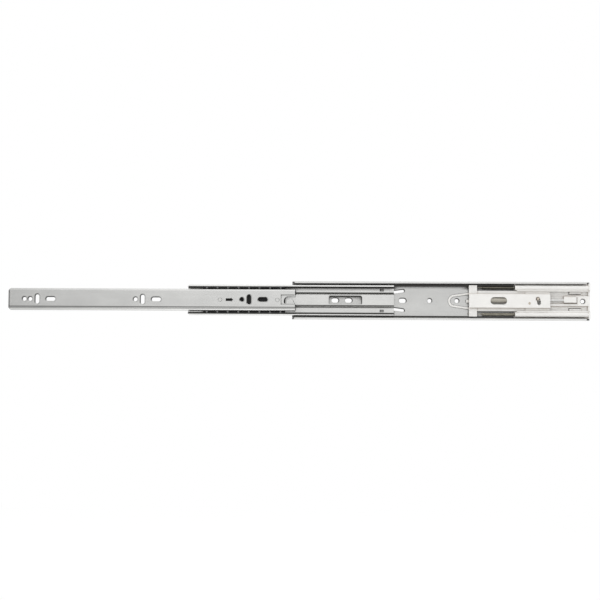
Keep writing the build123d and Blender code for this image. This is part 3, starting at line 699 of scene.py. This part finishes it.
def ball_row(node, radius, body):
    """Spheres of that radius along x. A point is the ball's centre plus radius times
    (sin a cos b, sin a sin b, cos a), with a from pole to pole and b once round."""
    rings, sides = BALL_RINGS, BALL_SIDES
    a = np.linspace(0.0, np.pi, rings + 2)[1:-1]
    b = np.linspace(0.0, 2.0 * np.pi, sides, endpoint=False)
    a, b = np.meshgrid(a, b, indexing="ij")
    skin = np.stack([np.sin(a) * np.cos(b), np.sin(a) * np.sin(b), np.cos(a)], -1).reshape(-1, 3)
    one = np.vstack([skin, [[0.0, 0.0, 1.0], [0.0, 0.0, -1.0]]]) * radius
    top, bottom = rings * sides, rings * sides + 1
    side = np.arange(sides)
    cap = np.stack([np.full(sides, top), side, (side + 1) % sides], -1)
    last = (rings - 1) * sides
    base = np.stack([np.full(sides, bottom), last + (side + 1) % sides, last + side], -1)
    quads = grid_faces(rings, sides)[:, ::-1]
    along = np.arange(BALLS_IN_ROW) * BALL_PITCH
    centres = np.array(row_start(node, radius)) + np.outer(along, [1.0, 0.0, 0.0])
    points = centres[:, None, :] + one[None, :, :]
    shift = np.arange(BALLS_IN_ROW)[:, None, None] * len(one)
    faces = (quads[None] + shift).reshape(-1, 4).tolist()
    faces += (cap[None] + shift).reshape(-1, 3).tolist()
    faces += (base[None] + shift).reshape(-1, 3).tolist()
    piece = new_piece("polished_" + node, points, faces, ball_steel, body)
    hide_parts(node)


OUTER_BALL_RADIUS = 0.0018
INNER_BALL_RADIUS = 0.0020
for side in ("upper", "lower"):
    ball_row("outer_balls_" + side, OUTER_BALL_RADIUS, "outer_cage")
    ball_row("inner_balls_" + side, INNER_BALL_RADIUS, "inner_cage")

# %% [markdown]
# ## The closing springs
# Two long extension springs pull the carriage back and draw the drawer shut. Each is a
# wire wound as a helix. At both ends the wire leaves the coil straight and is bent across
# into a hook: the front one holds the carriage's wing, and the rear one the moulding. The
# coil starts a little behind the wing, which leaves it room as the spring shortens. A
# wire is a circle carried along a path, so the path is written first: the helix has x
# growing with the turn while y and z go round, and each end is a few straight runs with
# rounded corners. The circle stands across the path.

# %% A wire along a path
WIRE_RADIUS = 0.0004
WIRE_SIDES = 8
COIL_RADIUS = 0.0016
COIL_TURNS = 92
COIL_STEPS = 16
WIRE_BEND = 0.0005
BEND_STEPS = 6


def swept_wire(path):
    """A tube round a path: each point is the path plus the wire's radius times
    (cos b side + sin b up), where side and up are square to the path's direction. A flat face
    closes each end."""
    direction = np.gradient(path, axis=0)
    direction /= np.linalg.norm(direction, axis=1, keepdims=True)
    lead = np.where(np.abs(direction[:, 1:2]) < 0.9, [[0.0, 1.0, 0.0]], [[1.0, 0.0, 0.0]])
    side = np.cross(lead, direction)
    side /= np.linalg.norm(side, axis=1, keepdims=True)
    up = np.cross(direction, side)
    b = np.linspace(0.0, 2.0 * np.pi, WIRE_SIDES, endpoint=False)
    ring = np.cos(b)[None, :, None] * side[:, None, :] + np.sin(b)[None, :, None] * up[:, None, :]
    points = path[:, None, :] + WIRE_RADIUS * ring
    end = np.arange(WIRE_SIDES)
    faces = grid_faces(len(path), WIRE_SIDES).tolist()
    faces.append(end[::-1].tolist())
    faces.append((end + (len(path) - 1) * WIRE_SIDES).tolist())
    return points.reshape(-1, 3), faces


def coil_path(start, end, middle_y, middle_z):
    """A helix: x goes evenly from start to end, and y and z are the middle line's, less the coil's
    radius times cos of the turn in y and plus the radius times sin of the turn in z."""
    t = np.linspace(0.0, 1.0, COIL_TURNS * COIL_STEPS + 1)
    turn = 2.0 * np.pi * COIL_TURNS * t
    return np.stack([start + (end - start) * t, middle_y - COIL_RADIUS * np.cos(turn),
                     middle_z + COIL_RADIUS * np.sin(turn)], -1)


def corner_path(points):
    """Straight runs with each corner rounded: round a corner a point is
    (1-t)(1-t) p + 2t(1-t) corner + t t q, where p and q lie one bend before and after it."""
    points = np.array(points)
    run = np.diff(points, axis=0)
    unit = run / np.linalg.norm(run, axis=1, keepdims=True)
    before = points[1:-1] - unit[:-1] * WIRE_BEND
    after = points[1:-1] + unit[1:] * WIRE_BEND
    t = np.linspace(0.0, 1.0, BEND_STEPS)[None, :, None]
    corner = points[1:-1, None]
    rounded = (1 - t) ** 2 * before[:, None] + 2 * t * (1 - t) * corner + t ** 2 * after[:, None]
    return np.vstack([points[:1], rounded.reshape(-1, 3), points[-1:]])


def as_one(wires):
    """The points and faces of several wires in one list each: a face's numbers go up by the count
    of the points before it."""
    points, faces, count = [], [], 0
    for wire_points, wire_faces in wires:
        points.append(wire_points)
        faces += [[corner + count for corner in face] for face in wire_faces]
        count += len(wire_points)
    return np.vstack(points), faces


print("wire helpers ready: wire", 2000.0 * WIRE_RADIUS, "mm thick, coil of", COIL_TURNS, "turns")

# %% Both springs
COIL_START = 0.2246
COIL_END = 0.3437
FRONT_LEAD = 0.0012
REAR_LEAD = 0.0010
FRONT_EYE = 0.20845
REAR_EYE = 0.34675
EYE_HALF = 0.0017
for side in ("upper", "lower"):
    node = "spring_" + side
    low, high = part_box(node)
    y, z = (low[1] + high[1]) / 2.0, (low[2] + high[2]) / 2.0
    coil = coil_path(COIL_START, COIL_END, y, z)
    front = corner_path([(COIL_START, y - COIL_RADIUS, z), (COIL_START - FRONT_LEAD, y, z),
                         (FRONT_EYE, y, z), (FRONT_EYE, y, z + EYE_HALF)])
    rear = corner_path([(COIL_END, y - COIL_RADIUS, z), (COIL_END + REAR_LEAD, y, z),
                        (REAR_EYE, y, z), (REAR_EYE, y, z - EYE_HALF)])
    points, faces = as_one([swept_wire(path) for path in (coil, front, rear)])
    spring = new_piece("wound_" + node, points, faces, spring_steel, "cabinet")
    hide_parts(node)
    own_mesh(spring)

# %% [markdown]
# ## Light and floor
# Bright metal looks like what it reflects, so the light matters as much as the finish.
# The slide hangs in a pale room, whose brightness changes with height and from side to
# side: a bend sweeps its reflection over the room, and the darker zone below eye level
# draws the dark lines along the bends that show their shape. Looked at directly, the
# room and the floor are white. Three wide soft lamps, over the slide, in front of it and
# behind, light the plastic. Reflections don't show the lamps or the floor, which is pale
# and well below.

# %% Surround
ROOM_STRENGTH = 1.45
world = bpy.data.worlds.new("pale_room")
bpy.context.scene.world = world
world.use_nodes = True
world.node_tree.nodes.clear()
room = Tree(world.node_tree)
seen = room.add("ShaderNodeLightPath", output=0)
direction = room.add("ShaderNodeTexCoord", output=0)
across = room.add("ShaderNodeSeparateXYZ", None, {"Vector": direction}, output=0)
height = room.add("ShaderNodeSeparateXYZ", None, {"Vector": direction}, output=2)
# Brightness by height, from straight down at 0 to straight up at 1
levels = [(0.0, 1.1), (0.14, 1.0), (0.21, 0.35), (0.38, 0.40), (0.45, 0.74), (0.525, 0.80), (0.65, 0.78),
          (0.80, 0.78), (0.90, 1.0), (1.0, 1.0)]
by_height = room.add("ShaderNodeValToRGB", {"stops": [(stop, (value,) * 3) for stop, value in levels]},
                     {"Fac": between(room, height, -1.0, 1.0)})
# Brightness by side, from the cabinet's front at 0 to its rear at 1
sides = [(0.0, 0.3), (0.06, 0.5), (0.12, 0.95), (0.20, 0.95), (0.28, 0.5), (0.33, 0.5), (0.37, 0.74),
         (0.42, 0.93), (0.50, 1.0), (0.66, 1.0), (0.72, 0.6), (0.80, 0.6), (0.86, 0.95), (0.94, 0.95),
         (1.0, 0.4)]
by_side = room.add("ShaderNodeValToRGB", {"stops": [(stop, (value,) * 3) for stop, value in sides]},
                   {"Fac": between(room, across, -1.0, 1.0)})
wall = room.blend(1.0, by_height, by_side, "MULTIPLY")
surround = room.add("ShaderNodeBackground", None, {"Color": wall, "Strength": ROOM_STRENGTH})
white = room.add("ShaderNodeBackground", None, {"Color": (1.0, 1.0, 1.0, 1.0), "Strength": 1.0})
both = room.add("ShaderNodeMixShader", None, {0: seen, 1: surround, 2: white})
room.add("ShaderNodeOutputWorld", None, {"Surface": both})
print("surround ready:", len(levels), "levels by height,", len(sides), "by side")

# %% Floor
FLOOR_DEPTH = -0.46
FLOOR_HALF = 1.6
FLOOR_GLOW = 0.9
floor_points = np.array([[-FLOOR_HALF, -FLOOR_HALF, FLOOR_DEPTH], [FLOOR_HALF, -FLOOR_HALF, FLOOR_DEPTH],
                         [FLOOR_HALF, FLOOR_HALF, FLOOR_DEPTH], [-FLOOR_HALF, FLOOR_HALF, FLOOR_DEPTH]])
floor_mesh = bpy.data.meshes.new("floor")
floor_mesh.from_pydata(floor_points.tolist(), [], [[0, 1, 2, 3]])
floor = bpy.data.objects.new("floor", floor_mesh)
bpy.context.scene.collection.objects.link(floor)
pale_floor = finish("pale_floor", lambda tree: tree.blend(
    between(tree, grain(tree, 3.0, 3.0), 0.2, 0.8), (0.88, 0.88, 0.87), (0.92, 0.92, 0.91)),
    even_roughness(0.7, 0.1))
ground = Tree(pale_floor.node_tree)
painted = Flow(ground, ground.tree.nodes["Principled BSDF"].outputs[0])
looked_at = ground.add("ShaderNodeLightPath", output=0)
glow = ground.add("ShaderNodeEmission", None, {"Color": (1.0, 1.0, 1.0, 1.0), "Strength": 1.0})
lit_floor = ground.add("ShaderNodeMixShader", None, {0: looked_at * FLOOR_GLOW, 1: painted, 2: glow})
ground.tree.links.new(lit_floor.socket, ground.tree.nodes["Material Output"].inputs["Surface"])
floor_mesh.materials.append(pale_floor)
floor.visible_glossy = False
print("floor ready at", FLOOR_DEPTH)


# %% Lamps
def soft_lamp(name, place, width, height, power):
    """A rectangular lamp at a place, turned to face the frame's origin."""
    light = bpy.data.lights.new(name, "AREA")
    light.shape = "RECTANGLE"
    light.size = width
    light.size_y = height
    light.energy = power
    lamp = bpy.data.objects.new(name, light)
    bpy.context.scene.collection.objects.link(lamp)
    back = np.array(place) / np.linalg.norm(place)
    across = np.cross([0.0, 0.0, 1.0], back)
    across /= np.linalg.norm(across)
    up = np.cross(back, across)
    turn = np.eye(4)
    turn[:3, 0], turn[:3, 1], turn[:3, 2], turn[:3, 3] = across, up, back, place
    lamp.matrix_world = Matrix(turn)
    lamp.visible_glossy = False


soft_lamp("overhead", (0.1, -0.42, 0.95), 1.6, 0.5, 1.7)
soft_lamp("in_front", (0.1, -1.3, 0.5), 1.0, 0.6, 1.8)
soft_lamp("behind", (-0.3, 1.2, 0.8), 1.2, 0.8, 3.0)

# %% [markdown]
# ## Camera
# The camera stands far off with a long lens, so that the long strip keeps its
# proportions. Its turn is worked out from a yaw, a pitch and a roll: the yaw and pitch
# say which way is ahead, and the roll turns the picture's right and up round it.

# %% Camera
CAMERA_PLACE = (0.1039, -1.4307, -0.0625)
CAMERA_YAW = -0.0661
CAMERA_PITCH = 0.0439
CAMERA_ROLL = 0.0070
FOCAL_LENGTH = 72.06
lens = bpy.data.cameras.new("camera")
lens.lens = FOCAL_LENGTH
lens.sensor_width = 36.0
camera = bpy.data.objects.new("camera", lens)
bpy.context.scene.collection.objects.link(camera)
ahead = np.array([math.sin(CAMERA_YAW) * math.cos(CAMERA_PITCH),
                  math.cos(CAMERA_YAW) * math.cos(CAMERA_PITCH), math.sin(CAMERA_PITCH)])
level = np.array([math.cos(CAMERA_YAW), -math.sin(CAMERA_YAW), 0.0])
above = np.cross(level, ahead)
right = math.cos(CAMERA_ROLL) * level + math.sin(CAMERA_ROLL) * above
up = math.cos(CAMERA_ROLL) * above - math.sin(CAMERA_ROLL) * level
pose = np.eye(4)
pose[:3, 0], pose[:3, 1], pose[:3, 2], pose[:3, 3] = right, up, -ahead, CAMERA_PLACE
camera.matrix_world = Matrix(pose)
bpy.context.scene.camera = camera
bpy.context.scene.view_settings.view_transform = "Standard"
print("camera at", CAMERA_PLACE, "lens", lens.lens)
